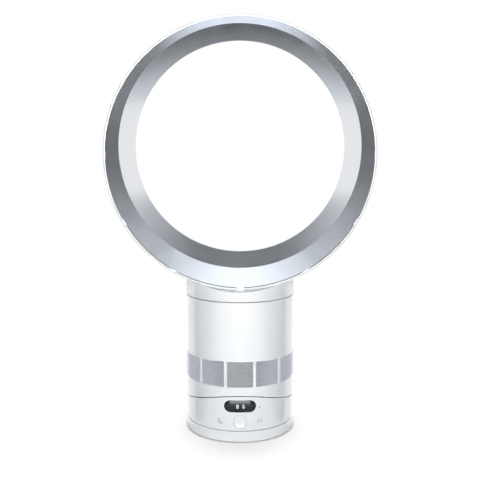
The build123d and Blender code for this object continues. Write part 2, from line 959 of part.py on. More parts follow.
def rotor_magnet():
    return tube(magnet_radius, shaft_radius, core_low, core_low + core_high)


def impeller_nut():
    low = impeller_low - hub_foot - nut_high
    hexagon = Pos(0, 0, low) * extrude(RegularPolygon(nut_radius, 6), nut_high)
    return hexagon - drum(shaft_radius, low, low + nut_high)


# Loop


def station(y, radius, centre_z):
    plane = Plane(origin=(0, y, centre_z), x_dir=(1, 0, 0), z_dir=(0, 1, 0))
    return plane * Circle(radius)


def plug(radius, near, far, centre_z):
    # A cylinder along Y
    return loft([station(near, radius, centre_z), station(far, radius, centre_z)], ruled=True)


def loop_turned(edges, centre_z, sweep=360):
    # A section in y and z, turned about a line along Y
    section = Plane.YZ * make_face(Curve() + edges)
    return revolve(section, Axis((0, 0, centre_z), (0, 1, 0)), sweep)


def loop_outside():
    # A crowned wall turned about the outer centre, then a slope to the inner centre's circle
    front = (loop_front_y, loop_z + rim_radius)
    corner = (loop_front_y + rim_chamfer, loop_z + loop_side_radius - rim_drop)
    crown = (crown_y, loop_z + loop_side_radius)
    round_off = (shoulder_y - round_start, loop_z + loop_side_radius - round_drop)
    turn = (shoulder_y - round_turn, loop_z + loop_side_radius - round_turn_drop)
    shoulder = (shoulder_y, loop_z + shoulder_radius)
    edges = [
        Line((loop_front_y, loop_z), front),
        Line(front, corner),
        ThreePointArc(corner, crown, round_off),
        ThreePointArc(round_off, turn, shoulder),
        Line(shoulder, (shoulder_y, loop_z)),
        Line((shoulder_y, loop_z), (loop_front_y, loop_z)),
    ]
    tail = [
        station(shoulder_y, shoulder_radius, loop_z),
        station(tail_y, tail_radius, throat_centre_z),
    ]
    return loop_turned(edges, loop_z) + loft(tail, ruled=True)


def loop_inside():
    # The air space behind the casing's wall
    side = loop_side_radius - loop_wall
    stations = [
        station(loop_front_y + rim_chamfer, side - rim_drop, loop_z),
        station((loop_front_y + crown_y) / 2, side - rim_drop / 4, loop_z),
        station(shoulder_y - round_start - loop_wall, side - round_drop, loop_z),
        station(shoulder_y - loop_wall, shoulder_radius - loop_wall, loop_z),
        station(tail_y - loop_wall, tail_radius, throat_centre_z),
    ]
    return loft(stations, ruled=True)


def on_nose(radius, angle):
    # A point beside the nose's centre: angle 0 is the hole's side, a quarter turn is the back
    centre_z = throat_centre_z + tail_radius
    return (hole_y + radius * math.sin(angle), centre_z - radius * math.cos(angle))


def nose_arc(radius, start, end):
    middle = (start + end) / 2
    return ThreePointArc(on_nose(radius, start), on_nose(radius, middle), on_nose(radius, end))


def nose_band(inner, outer, start, end, sweep):
    # The section between two radii and two angles of the nose, turned about the hole's centre
    edges = [
        nose_arc(outer, start, end),
        Line(on_nose(outer, end), on_nose(inner, end)),
        nose_arc(inner, end, start),
        Line(on_nose(inner, start), on_nose(outer, start)),
    ]
    return loop_turned(edges, throat_centre_z, sweep)


def loop_neck(outside):
    # The neck rises to the loop and is scooped by the loop's outer circle
    reach = 2 * body_radius
    scoop = plug(rim_radius, -reach, reach, loop_z)
    scoop_in = plug(rim_radius + loop_wall, -reach, reach, loop_z)
    top = loop_z - rim_radius + body_radius / 3
    section = [
        (body_radius - edge, neck_low),
        (body_radius, neck_low + edge),
        (body_radius, top),
        (0, top),
        (0, neck_low),
    ]
    skin = turned(*section) - scoop
    hollow = drum(bore, neck_low, top) - scoop_in
    return skin - hollow - outside


def loop_outer_casing():
    # Wall, curled tail that forms the air outlet, and the neck, in one piece
    outside = loop_outside()
    mouth = plug(trim_outer, loop_front_y, loop_front_y + rim_chamfer, loop_z)
    rear = plug(tail_radius, tail_y - 2 * loop_wall, tail_y, throat_centre_z)
    inner = nose_radius + outlet_gap
    tail_lip = nose_band(inner, inner + loop_wall, lip_end, math.pi / 2, 360)
    opening_top = loop_z - math.sqrt(loop_side_radius**2 - (neck_opening_width / 2) ** 2) + wall
    opening = block(neck_opening_width, neck_opening_depth, neck_low, opening_top + 2 * wall)
    return outside - loop_inside() - mouth - rear + tail_lip + loop_neck(outside) - opening


def casing_skin():
    # Cone from the crease to a rounded nose, which turns out again behind the hole
    across = hole_y - crease_y
    rise = tail_radius - crease_radius
    lean = math.atan2(rise, across) - math.asin(nose_radius / math.hypot(across, rise))
    inner = nose_radius - loop_wall
    start = (crease_y, throat_centre_z + crease_radius)
    back = (crease_y, throat_centre_z + crease_radius + loop_wall / math.cos(lean))
    edges = [
        Line(start, on_nose(nose_radius, lean)),
        nose_arc(nose_radius, lean, nose_end),
        Line(on_nose(nose_radius, nose_end), on_nose(inner, nose_end)),
        nose_arc(inner, nose_end, lean),
        Line(on_nose(inner, lean), back),
        Line(back, start),
    ]
    return loop_turned(edges, throat_centre_z)


def loop_inner_casing():
    # Small ribs on the back of the nose keep the air outlet's gap even
    top = nose_radius + outlet_gap - spacer_gap
    rib = nose_band(nose_radius - loop_wall / 4, top, lip_end + 0.15, nose_end - 0.1, 1.0)
    out = Pos(0, 0, throat_centre_z)
    back = Pos(0, 0, -throat_centre_z)
    pitch = 360 / spacer_count
    ribs = [out * Rot(0, pitch * (turn + 0.5), 0) * back * rib for turn in range(spacer_count)]
    return casing_skin() + ribs


def trim_tabs():
    # Small tabs behind the casing's lip, spread round the trim
    near = loop_front_y + rim_chamfer + running_fit
    far = near + tab_thick
    ring = plug(trim_outer + tab_lip, near, far, loop_z) - plug(trim_outer - tab_root, near, far, loop_z)
    bar = Box(tab_width, 4 * abs(loop_front_y), 3 * trim_outer)
    bars = [Pos(0, 0, loop_z) * Rot(0, 360 / tab_count * turn, 0) * bar for turn in range(tab_count // 2)]
    return [ring & piece for piece in bars]


def loop_front_trim():
    # A ruled band between two circles; it touches the casing at the top, with a full seam at the bottom
    front = station(loop_front_y, trim_edge, trim_z)
    crease = station(crease_y, crease_radius, throat_centre_z)
    face = loft([front, crease], ruled=True)
    back = Pos(0, loop_wall, 0) * face
    rim = plug(trim_edge, loop_front_y, loop_front_y + loop_wall, trim_z)
    hole = plug(crease_radius, crease_y, crease_y + loop_wall, throat_centre_z)
    return back + rim + trim_tabs() - face - hole - casing_skin()


def loop_collar():
    # Closes the bottom of the neck and carries the bayonet's lugs
    flange = tube(bore, collar_bore, neck_low, neck_low + wall)
    spigot = tube(spigot_radius, collar_bore, bayonet_low + bayonet_gap, neck_low + wall)
    low = groove_low + bayonet_gap
    lug = sector(lug_radius, spigot_radius - lap, low, low + lug_high, lug_angle)
    return flange + spigot + around(lug, lug_count)


def neck_seal():
    return tube(bore - seal_inset, lug_radius, neck_low - seal_thick, neck_low)


nodes = {
    "foot_shell": foot_shell(),
    "foot_plate": foot_plate(),
    "rubber_feet": rubber_feet(),
    "foot_screws": foot_screws(),
    "ballast_ring": ballast_ring(),
    "pivot_post": pivot_post(),
    "pivot_retainer": pivot_retainer(),
    "swing_ring_gear": swing_ring_gear(),
    "glide_ring": glide_ring(),
    "dc_inlet": dc_inlet(),
    "swing_pinion": swing_pinion(),
    "swing_motor": swing_motor(),
    "motor_screws": motor_screws(),
    "base_shell": base_shell(),
    "base_floor": base_floor(),
    "base_screws": base_screws(),
    "pivot_bush": pivot_bush(),
    "tilt_saddle": tilt_saddle(),
    "saddle_screws": saddle_screws(),
    "tilt_glide_strips": tilt_glide_strips(),
    "board_bracket": board_bracket(),
    "control_board": control_board(),
    "power_switch": power_switch(),
    "display_board": display_board(),
    "display_module": display_module(),
    "display_lens": display_lens(),
    "ir_window": ir_window(),
    "moon_light_guide": light_guide(moon_angle),
    "swing_light_guide": light_guide(swing_mark_angle),
    "power_button": power_button(),
    "body_shell": body_shell(),
    "inlet_grille": inlet_grille(),
    "tilt_carriage": tilt_carriage(),
    "carriage_screws": carriage_screws(),
    "tilt_hooks": tilt_hooks(),
    "lower_foam": lower_foam(),
    "upper_foam": upper_foam(),
    "impeller_housing": impeller_housing(),
    "housing_gasket": housing_gasket(),
    "motor_bucket": motor_bucket(),
    "motor_cap": motor_cap(),
    "motor_stator": motor_stator(),
    "motor_bearings": motor_bearings(),
    "bayonet_ring": bayonet_ring(),
    "impeller": impeller(),
    "motor_shaft": motor_shaft(),
    "rotor_magnet": rotor_magnet(),
    "impeller_nut": impeller_nut(),
    "loop_outer_casing": loop_outer_casing(),
    "loop_inner_casing": loop_inner_casing(),
    "loop_front_trim": loop_front_trim(),
    "loop_collar": loop_collar(),
    "neck_seal": neck_seal(),
}

for name, shape in nodes.items():
    export_step(shape, f"parts/{name}.step")
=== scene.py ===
import math
import bmesh
import bpy
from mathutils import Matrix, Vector


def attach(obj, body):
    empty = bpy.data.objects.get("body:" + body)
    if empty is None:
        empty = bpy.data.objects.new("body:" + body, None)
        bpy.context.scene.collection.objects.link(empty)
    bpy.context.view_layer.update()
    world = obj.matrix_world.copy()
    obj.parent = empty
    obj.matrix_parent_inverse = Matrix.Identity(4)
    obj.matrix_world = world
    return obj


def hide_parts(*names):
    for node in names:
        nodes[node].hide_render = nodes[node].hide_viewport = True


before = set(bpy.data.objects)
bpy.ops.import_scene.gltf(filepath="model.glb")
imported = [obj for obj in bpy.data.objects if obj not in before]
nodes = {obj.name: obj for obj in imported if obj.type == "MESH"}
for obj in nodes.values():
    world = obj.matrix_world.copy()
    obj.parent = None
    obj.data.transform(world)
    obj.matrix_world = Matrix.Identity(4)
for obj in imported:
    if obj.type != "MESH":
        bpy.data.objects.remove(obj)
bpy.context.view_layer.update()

# the view of the photograph
view = {"place": (0.0, -1.0307, 0.3849), "down": 6.968, "lens": 56.997, "sensor": 36.0}

cameraData = bpy.data.cameras.new("camera")
cameraData.lens = view["lens"]
cameraData.sensor_width = view["sensor"]
cameraObject = bpy.data.objects.new("camera", cameraData)
cameraObject.location = view["place"]
cameraObject.rotation_euler = (math.radians(90 - view["down"]), 0, 0)
bpy.context.collection.objects.link(cameraObject)
bpy.context.scene.camera = cameraObject
bpy.context.scene.view_settings.view_transform = "Standard"
print("camera placed")


# short ways to write node trees

def addNode(tree, kind, **settings):
    node = tree.nodes.new(kind)
    for name, value in settings.items():
        setattr(node, name, value)
    return node


def setInputs(node, values):
    for name, value in values.items():
        node.inputs[name].default_value = value
    return node


def mathNode(tree, operation, first, second=None):
    node = addNode(tree, "ShaderNodeMath", operation=operation)
    for socket, value in zip(node.inputs, (first, second)):
        if isinstance(value, (int, float)):
            socket.default_value = value
        elif value is not None:
            tree.links.new(value, socket)
    return node.outputs[0]


def rampNode(tree, factor, low, high, start=0.0, end=1.0):
    node = addNode(tree, "ShaderNodeMapRange", clamp=True)
    tree.links.new(factor, node.inputs["Value"])
    return setInputs(node, {"From Min": low, "From Max": high, "To Min": start, "To Max": end}).outputs[0]


def mixColour(tree, factor, first, second):
    # a colour is a socket or three numbers; the colour mix has its sockets at 0, 6 and 7
    node = addNode(tree, "ShaderNodeMix", data_type="RGBA")
    for index, value in ((0, factor), (6, first), (7, second)):
        if isinstance(value, bpy.types.NodeSocket):
            tree.links.new(value, node.inputs[index])
        else:
            node.inputs[index].default_value = (*value[:3], 1.0)
    return node.outputs[2]


def noiseOf(tree, coordinates, scale, detail=2.0, roughness=0.5):
    node = addNode(tree, "ShaderNodeTexNoise")
    setInputs(node, {"Scale": scale, "Detail": detail, "Roughness": roughness})
    tree.links.new(coordinates, node.inputs["Vector"])
    return node.outputs["Fac"]


def newGroup(name, inputs, outputs):
    group = bpy.data.node_groups.new(name, "ShaderNodeTree")
    for socketName, kind, value in inputs:
        socket = group.interface.new_socket(socketName, in_out="INPUT", socket_type=kind)
        socket.default_value = value
    for socketName, kind in outputs:
        group.interface.new_socket(socketName, in_out="OUTPUT", socket_type=kind)
    return group, addNode(group, "NodeGroupInput"), addNode(group, "NodeGroupOutput")


# what a moulded or painted surface has: uneven tone, fine relief, finger marks and a little dust

skinPattern = {
    "toneDetail": 3.0, "toneRange": (0.3, 0.7), "reliefDetail": 1.0,
    "fingerScale": 46.0, "fingerDetail": 4.0, "fingerRoughness": 0.6, "fingerRange": (0.4, 0.68),
    "speckScale": 1400.0, "speckRange": (0.45, 0.62), "facingUp": (0.5, 1.0),
    "dustColour": (0.42, 0.41, 0.39), "dustRoughness": 0.5,
}


def makeSkinGroup(values):
    group, inner, outer = newGroup(
        "mouldedSkin",
        [
            ("Colour", "NodeSocketColor", (0.8, 0.8, 0.8, 1)),
            ("Tone", "NodeSocketFloat", 0.03),
            ("Tone Scale", "NodeSocketFloat", 18.0),
            ("Gloss", "NodeSocketFloat", 0.3),
            ("Gloss Range", "NodeSocketFloat", 0.06),
            ("Relief Scale", "NodeSocketFloat", 900.0),
            ("Dust", "NodeSocketFloat", 0.05),
        ],
        [("Colour", "NodeSocketColor"), ("Roughness", "NodeSocketFloat"), ("Height", "NodeSocketFloat")],
    )
    link = group.links.new
    place = addNode(group, "ShaderNodeTexCoord").outputs["Object"]
    broad = addNode(group, "ShaderNodeTexNoise")
    setInputs(broad, {"Detail": values["toneDetail"]})
    link(place, broad.inputs["Vector"])
    link(inner.outputs["Tone Scale"], broad.inputs["Scale"])
    fine = addNode(group, "ShaderNodeTexNoise")
    setInputs(fine, {"Detail": values["reliefDetail"]})
    link(place, fine.inputs["Vector"])
    link(inner.outputs["Relief Scale"], fine.inputs["Scale"])
    fingers = noiseOf(group, place, values["fingerScale"], values["fingerDetail"], values["fingerRoughness"])
    specks = noiseOf(group, place, values["speckScale"], 0.0)

    shade = rampNode(group, broad.outputs["Fac"], *values["toneRange"])
    darker = mathNode(group, "SUBTRACT", 1.0, mathNode(group, "MULTIPLY", shade, inner.outputs["Tone"]))
    toned = addNode(group, "ShaderNodeVectorMath", operation="SCALE")
    link(inner.outputs["Colour"], toned.inputs[0])
    link(darker, toned.inputs["Scale"])

    normal = addNode(group, "ShaderNodeNewGeometry").outputs["Normal"]
    split = addNode(group, "ShaderNodeSeparateXYZ")
    link(normal, split.inputs[0])
    upward = rampNode(group, split.outputs["Z"], *values["facingUp"])
    settled = mathNode(group, "MULTIPLY", upward, rampNode(group, specks, *values["speckRange"]))
    dust = mathNode(group, "MULTIPLY", settled, inner.outputs["Dust"])
    link(mixColour(group, dust, toned.outputs[0], values["dustColour"]), outer.inputs["Colour"])

    smear = mathNode(group, "MULTIPLY", rampNode(group, fingers, *values["fingerRange"]), inner.outputs["Gloss Range"])
    rough = mathNode(group, "ADD", inner.outputs["Gloss"], smear)
    matt = mathNode(group, "MULTIPLY", dust, values["dustRoughness"])
    link(mathNode(group, "ADD", rough, matt), outer.inputs["Roughness"])
    link(fine.outputs["Fac"], outer.inputs["Height"])
    return group


skinGroup = makeSkinGroup(skinPattern)


def startMaterial(name):
    material = bpy.data.materials.new(name)
    material.use_nodes = True
    tree = material.node_tree
    shader = tree.nodes["Principled BSDF"]
    place = addNode(tree, "ShaderNodeTexCoord").outputs["Object"]
    return material, tree, shader, place


def addBump(tree, shader, height, depth):
    bump = addNode(tree, "ShaderNodeBump")
    setInputs(bump, {"Distance": depth, "Strength": 1.0})
    tree.links.new(height, bump.inputs["Height"])
    tree.links.new(bump.outputs["Normal"], shader.inputs["Normal"])


# what a skin has where its own values say nothing else
plainSkin = {"tone": 0.03, "toneScale": 18.0, "glossRange": 0.05, "reliefScale": 900.0, "relief": 0.00002, "dust": 0.05}


def skinMaterial(name, own):
    values = {**plainSkin, **own}
    material, tree, shader, _ = startMaterial(name)
    skin = addNode(tree, "ShaderNodeGroup", node_tree=skinGroup)
    setInputs(skin, {
        "Colour": (*values["colour"], 1.0),
        "Tone": values["tone"],
        "Tone Scale": values["toneScale"],
        "Gloss": values["gloss"],
        "Gloss Range": values["glossRange"],
        "Relief Scale": values["reliefScale"],
        "Dust": values["dust"],
    })
    colour = skin.outputs["Colour"]
    if "paintedSheen" in values:
        # a painted sheen: the colour is painted lighter and bluer where the surface is seen from the side; a blend of a
        # half gives the plain facing
        turned = setInputs(addNode(tree, "ShaderNodeLayerWeight"), {"Blend": 0.5}).outputs["Facing"]
        sheenShare = rampNode(tree, turned, *values["paintedSheenRange"])
        colour = mixColour(tree, sheenShare, colour, values["paintedSheen"])
    tree.links.new(colour, shader.inputs["Base Color"])
    tree.links.new(skin.outputs["Roughness"], shader.inputs["Roughness"])
    setInputs(shader, values.get("shader", {}))
    addBump(tree, shader, skin.outputs["Height"], values["relief"])
    return material


# finishes that only differ in their values
skins = {
    "whiteShell": {
        "colour": (0.86, 0.875, 0.89), "gloss": 0.2, "glossRange": 0.06, "tone": 0.015, "dust": 0.04,
        "reliefScale": 260.0, "relief": 0.000012,
        "shader": {"Coat Weight": 0.5, "Coat Roughness": 0.06, "Specular IOR Level": 1.0},
    },
    "whiteMoulded": {
        "colour": (0.78, 0.78, 0.775), "gloss": 0.48, "reliefScale": 1500.0, "relief": 0.00003, "dust": 0.1,
    },
    "silverPaint": {
        "colour": (0.755, 0.775, 0.81), "gloss": 0.17, "glossRange": 0.04, "tone": 0.02, "reliefScale": 2400.0,
        "relief": 0.0000015, "dust": 0.03,
        "shader": {"Metallic": 0.92, "Coat Weight": 0.25, "Coat Roughness": 0.08},
    },
    "silverGrille": {
        "colour": (0.36, 0.365, 0.36), "gloss": 0.42, "tone": 0.04, "reliefScale": 2600.0, "relief": 0.000008,
        # the lighter, bluer colour seen from the side is a painted sheen
        "paintedSheen": (0.69, 0.695, 0.76), "paintedSheenRange": (0.1, 0.19),
        "shader": {"Metallic": 0.3, "Coat Weight": 0.1, "Coat Roughness": 0.2, "Sheen Weight": 0.8,
                   "Sheen Roughness": 0.4, "Sheen Tint": (0.85, 0.88, 1.0, 1.0)},
    },
    "blackMoulded": {
        "colour": (0.022, 0.022, 0.024), "gloss": 0.42, "reliefScale": 1300.0, "relief": 0.00003, "dust": 0.12,
    },
    "greyMoulded": {
        "colour": (0.11, 0.115, 0.12), "gloss": 0.45, "tone": 0.08, "reliefScale": 1200.0, "relief": 0.00004,
        "dust": 0.12,
    },
    "acetal": {
        "colour": (0.74, 0.72, 0.66), "gloss": 0.36, "tone": 0.04, "reliefScale": 800.0, "relief": 0.00002,
        "shader": {"Subsurface Weight": 0.06, "Subsurface Scale": 0.002},
    },
    "blackWindow": {
        "colour": (0.006, 0.0065, 0.007), "gloss": 0.26, "glossRange": 0.04, "tone": 0.02, "dust": 0.0,
        "reliefScale": 300.0, "relief": 0.000002,
        "shader": {"Specular IOR Level": 0.5, "Coat Weight": 0.5, "Coat Roughness": 0.2},
    },
    "printedGrey": {
        "colour": (0.5, 0.505, 0.51), "gloss": 0.4, "reliefScale": 3000.0, "relief": 0.00001, "dust": 0.0,
    },
}
paint = {name: skinMaterial(name, values) for name, values in skins.items()}


# finishes with a pattern of their own, each with its values above it

litDigits = {
    "scale": 900.0, "range": (0.3, 0.7, 0.9, 1.0), "dim": (0.3, 0.31, 0.31), "bright": (0.62, 0.64, 0.63),
    "glow": 0.75, "gloss": 0.35, "relief": 0.00001,
}


def litDigitMaterial(name, values):
    material, tree, shader, place = startMaterial(name)
    glow = rampNode(tree, noiseOf(tree, place, values["scale"]), *values["range"])
    lit = mixColour(tree, glow, values["dim"], values["bright"])
    tree.links.new(lit, shader.inputs["Base Color"])
    tree.links.new(lit, shader.inputs["Emission Color"])
    setInputs(shader, {"Emission Strength": values["glow"], "Roughness": values["gloss"]})
    addBump(tree, shader, glow, values["relief"])
    return material


frostedClear = {
    "scale": 1600.0, "gloss": (0.3, 0.7, 0.12, 0.3), "colours": ((0.86, 0.89, 0.92), (0.93, 0.95, 0.96)),
    "clearness": 0.85, "bending": 1.49, "relief": 0.00001,
}


def clearMaterial(name, values):
    material, tree, shader, place = startMaterial(name)
    frost = noiseOf(tree, place, values["scale"])
    tree.links.new(rampNode(tree, frost, *values["gloss"]), shader.inputs["Roughness"])
    tree.links.new(mixColour(tree, frost, *values["colours"]), shader.inputs["Base Color"])
    setInputs(shader, {"Transmission Weight": values["clearness"], "IOR": values["bending"]})
    addBump(tree, shader, frost, values["relief"])
    return material


zincSteel = {
    "stretch": (1.0, 1.0, 22.0), "lineScale": 320.0, "lineDetail": 3.0, "patchScale": 90.0,
    "toneRange": (0.7, 1.3), "colours": ((0.42, 0.42, 0.43), (0.66, 0.66, 0.65)),
    "gloss": (0.3, 0.7, 0.22, 0.42), "relief": 0.00001,
}


def steelMaterial(name, values):
    # zinc plated: fine drawn lines, patchy brightness
    material, tree, shader, place = startMaterial(name)
    stretch = addNode(tree, "ShaderNodeMapping")
    setInputs(stretch, {"Scale": values["stretch"]})
    tree.links.new(place, stretch.inputs["Vector"])
    lines = noiseOf(tree, stretch.outputs["Vector"], values["lineScale"], values["lineDetail"])
    patches = noiseOf(tree, place, values["patchScale"])
    tone = rampNode(tree, mathNode(tree, "ADD", lines, patches), *values["toneRange"])
    tree.links.new(mixColour(tree, tone, *values["colours"]), shader.inputs["Base Color"])
    tree.links.new(rampNode(tree, lines, *values["gloss"]), shader.inputs["Roughness"])
    shader.inputs["Metallic"].default_value = 1.0
    addBump(tree, shader, lines, values["relief"])
    return material


castIron = {
    "gritScale": 1100.0, "gritDetail": 4.0, "gritRoughness": 0.7, "gritRange": (0.3, 0.75),
    "colours": ((0.022, 0.021, 0.021), (0.075, 0.072, 0.07)),
    "rustScale": 70.0, "rustDetail": 3.0, "rustRoughness": 0.6, "rustRange": (0.6, 0.75, 0.0, 0.45),
    "rust": (0.12, 0.05, 0.025), "metallic": 0.6, "gloss": 0.62, "relief": 0.00015,
}


def castIronMaterial(name, values):
    material, tree, shader, place = startMaterial(name)
    grit = noiseOf(tree, place, values["gritScale"], values["gritDetail"], values["gritRoughness"])
    rust = noiseOf(tree, place, values["rustScale"], values["rustDetail"], values["rustRoughness"])
    tone = mixColour(tree, rampNode(tree, grit, *values["gritRange"]), *values["colours"])
    rusty = mixColour(tree, rampNode(tree, rust, *values["rustRange"]), tone, values["rust"])
    tree.links.new(rusty, shader.inputs["Base Color"])
    setInputs(shader, {"Metallic": values["metallic"], "Roughness": values["gloss"]})
    addBump(tree, shader, grit, values["relief"])
    return material


softRubber = {
    "grainScale": 2200.0, "grainDetail": 3.0, "grainRoughness": 0.6, "gloss": (0.3, 0.7, 0.62, 0.85),
    "wearScale": 160.0, "wearDetail": 3.0, "wearRange": (0.4, 0.7),
    "colours": ((0.02, 0.02, 0.021), (0.05, 0.05, 0.052)), "sheen": 0.25, "relief": 0.00006,
}


def rubberMaterial(name, values):
    material, tree, shader, place = startMaterial(name)
    grain = noiseOf(tree, place, values["grainScale"], values["grainDetail"], values["grainRoughness"])
    wear = noiseOf(tree, place, values["wearScale"], values["wearDetail"])
    worn = rampNode(tree, wear, *values["wearRange"])
    tree.links.new(mixColour(tree, worn, *values["colours"]), shader.inputs["Base Color"])
    tree.links.new(rampNode(tree, grain, *values["gloss"]), shader.inputs["Roughness"])
    shader.inputs["Sheen Weight"].default_value = values["sheen"]
    addBump(tree, shader, grain, values["relief"])
    return material


circuitBoard = {
    "tracks": {"Scale": 130.0, "Mortar Size": 0.03, "Brick Width": 1.6, "Row Height": 0.32},
    "blotchScale": 60.0, "blotchRange": (0.35, 0.65), "greens": ((0.012, 0.085, 0.035), (0.018, 0.11, 0.045)),
    "trackColour": (0.05, 0.24, 0.1), "gloss": 0.3, "coat": 0.4, "relief": 0.00003,
}


def turnedBy(tree, vector, rotation):
    node = addNode(tree, "ShaderNodeMapping")
    setInputs(node, {"Rotation": rotation})
    tree.links.new(vector, node.inputs["Vector"])
    return node.outputs["Vector"]


def boardMaterial(name, values):
    # green board with tracks running two ways under the mask
    material, tree, shader, place = startMaterial(name)
    quarter = math.radians(90)
    masks = []
    for turn in ((0, 0, 0), (0, quarter, 0)):
        bricks = addNode(tree, "ShaderNodeTexBrick")
        setInputs(bricks, values["tracks"])
        tree.links.new(turnedBy(tree, turnedBy(tree, place, turn), (quarter, 0, 0)), bricks.inputs["Vector"])
        masks.append(bricks.outputs["Fac"])
    tracks = mathNode(tree, "MAXIMUM", masks[0], masks[1])
    blotch = rampNode(tree, noiseOf(tree, place, values["blotchScale"]), *values["blotchRange"])
    ground = mixColour(tree, blotch, *values["greens"])
    tree.links.new(mixColour(tree, tracks, ground, values["trackColour"]), shader.inputs["Base Color"])
    setInputs(shader, {"Roughness": values["gloss"], "Coat Weight": values["coat"]})
    addBump(tree, shader, tracks, values["relief"])
    return material


openFoam = {
    "cells": {"Scale": 620.0, "Randomness": 1.0}, "depthRange": (0.1, 0.6),
    "colours": ((0.008, 0.008, 0.009), (0.055, 0.055, 0.06)), "gloss": 0.95, "sheen": 0.2, "relief": 0.0006,
}


def foamMaterial(name, values):
    material, tree, shader, place = startMaterial(name)
    cells = addNode(tree, "ShaderNodeTexVoronoi", feature="SMOOTH_F1")
    setInputs(cells, values["cells"])
    tree.links.new(place, cells.inputs["Vector"])
    # the pores are darker towards their middles, a painted shade in the hollows; the same value gives the bump
    depth = rampNode(tree, cells.outputs["Distance"], *values["depthRange"])
    tree.links.new(mixColour(tree, depth, *values["colours"]), shader.inputs["Base Color"])
    setInputs(shader, {"Roughness": values["gloss"], "Sheen Weight": values["sheen"]})
    addBump(tree, shader, depth, values["relief"])
    return material


motorCore = {
    "sheets": 2000.0, "sheetRange": (0.0, 0.18), "wires": {"Scale": 420.0, "Distortion": 1.5, "Detail": 1.0},
    "low": 0.134, "high": 0.15, "steels": ((0.05, 0.05, 0.055), (0.34, 0.34, 0.35)),
    "coppers": ((0.16, 0.045, 0.012), (0.62, 0.25, 0.09)), "metallic": 0.85, "gloss": 0.38, "relief": 0.0002,
}


def windingMaterial(name, values):
    # stacked laminations inside, copper wire at the ends
    material, tree, shader, place = startMaterial(name)
    split = addNode(tree, "ShaderNodeSeparateXYZ")
    tree.links.new(place, split.inputs[0])
    height = split.outputs["Z"]
    sheets = mathNode(tree, "FRACT", mathNode(tree, "MULTIPLY", height, values["sheets"]))
    edge = rampNode(tree, sheets, *values["sheetRange"])
    wires = addNode(tree, "ShaderNodeTexWave", wave_type="RINGS", rings_direction="Z")
    setInputs(wires, values["wires"])
    tree.links.new(place, wires.inputs["Vector"])
    steel = mixColour(tree, edge, *values["steels"])
    # the copper is painted darker in the grooves between the wires, a painted shade; the same rings give the bump
    copper = mixColour(tree, wires.outputs["Fac"], *values["coppers"])
    atEnds = mathNode(tree, "ADD", mathNode(tree, "LESS_THAN", height, values["low"]),
                      mathNode(tree, "GREATER_THAN", height, values["high"]))
    tree.links.new(mixColour(tree, atEnds, steel, copper), shader.inputs["Base Color"])
    setInputs(shader, {"Metallic": values["metallic"], "Roughness": values["gloss"]})
    wound = mathNode(tree, "MULTIPLY", wires.outputs["Fac"], atEnds)
    addBump(tree, shader, mathNode(tree, "ADD", wound, edge), values["relief"])
    return material


patterned = {
    "litDigits": (litDigitMaterial, litDigits),
    "frostedClear": (clearMaterial, frostedClear),
    "zincSteel": (steelMaterial, zincSteel),
    "castIron": (castIronMaterial, castIron),
    "softRubber": (rubberMaterial, softRubber),
    "circuitBoard": (boardMaterial, circuitBoard),
    "openFoam": (foamMaterial, openFoam),
    "motorCore": (windingMaterial, motorCore),
}
paint.update({name: make(name, values) for name, (make, values) in patterned.items()})

# the record's slots and the finish that each one gets here
finishOf = {
    "white_shell": "whiteShell",
    "white_plastic": "whiteMoulded",
    "silver_paint": "silverPaint",
    "grille_grey": "silverGrille",
    "rubber": "softRubber",
    "steel": "zincSteel",
    "ballast_iron": "castIron",
    "grey_plastic": "greyMoulded",
    "bearing_plastic": "acetal",
    "circuit_board": "circuitBoard",
    "black_plastic": "blackMoulded",
    "black_window": "blackWindow",
    "clear_plastic": "frostedClear",
    "foam": "openFoam",
    "motor_core": "motorCore",
}
for obj in nodes.values():
    slotName = obj.data.materials[0].name.split(".")[0] if obj.data.materials else ""
    finish = paint[finishOf.get(slotName, "whiteShell")]
    if slotName not in finishOf:
        print("no finish for", obj.name, slotName)
    obj.data.materials.clear()
    obj.data.materials.append(finish)
print("frame parts painted")


def addPiece(name, mesh, body, finish, replaced=()):
    piece = bpy.data.objects.new(name, mesh)
    bpy.context.collection.objects.link(piece)
    mesh.materials.clear()
    mesh.materials.append(paint[finish])
    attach(piece, body)
    if replaced:
        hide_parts(*replaced)
    return piece


def shadeSmooth(mesh, degrees):
    # edges that turn by more than this stay sharp
    mesh.shade_smooth()
    mesh.set_sharp_from_angle(angle=math.radians(degrees))


# rounded noses on the inlet's slats, uprights behind them, and beads down the white strips between the panels

rowFirst, rowPitch = 0.077475, 0.00215
slats = {
    "Panels": 12, "Rows": 14, "First": rowFirst, "Pitch": rowPitch, "Turn": 0.0, "Sweep": math.radians(25.4),
    "Radius": 0.07288, "Thick": 0.00062, "Steps": 13, "Sides": 10,
}
beads = {
    "Panels": 12, "Rows": 15, "First": rowFirst - rowPitch / 2, "Pitch": rowPitch, "Turn": math.radians(15),
    "Sweep": math.radians(1.7), "Radius": 0.07325, "Thick": 0.00085, "Steps": 4, "Sides": 10,
}
uprights = {
    "Panels": 12, "Count": 12, "Step": math.radians(2.08), "Low": 0.0758, "High": 0.1071, "Radius": 0.0719,
    "Width": 0.0005, "Depth": 0.0016,
}
barCrease = 50.0


def newGeometryTree(name, inputs):
    tree = bpy.data.node_groups.new(name, "GeometryNodeTree")
    tree.interface.new_socket("Geometry", in_out="INPUT", socket_type="NodeSocketGeometry")
    for socketName, kind, value in inputs:
        socket = tree.interface.new_socket(socketName, in_out="INPUT", socket_type=kind)
        if value is not None:
            socket.default_value = value
    tree.interface.new_socket("Geometry", in_out="OUTPUT", socket_type="NodeSocketGeometry")
    return tree, addNode(tree, "NodeGroupInput").outputs, addNode(tree, "NodeGroupOutput")


